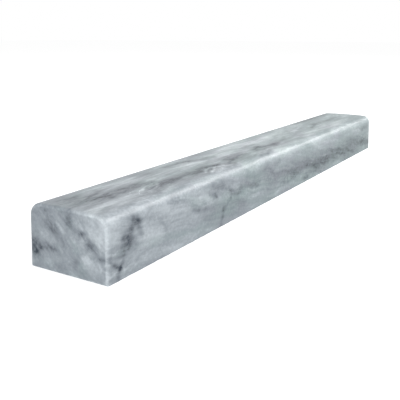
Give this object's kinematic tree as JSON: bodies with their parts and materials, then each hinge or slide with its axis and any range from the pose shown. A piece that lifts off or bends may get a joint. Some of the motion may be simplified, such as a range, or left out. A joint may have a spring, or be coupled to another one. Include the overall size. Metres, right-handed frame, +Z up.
{
  "type": "pencil liner tile",
  "caption": "Narrow bar of polished grey marble with rounded long top edges, a softly crowned face and a flat sawn back, laid as a trim strip between or along tiles.",
  "frame": {"origin": "middle of the flat bedding face, on the surface that the bar lies on", "axes": "+X along the bar, +Y across it, +Z up out of the rounded face"},
  "size_m": [0.305, 0.038, 0.025],
  "materials": {
    "marble": "polished"
  },
  "bodies": {
    "root": {"pencil_liner": "marble"}
  },
  "joints": []
}
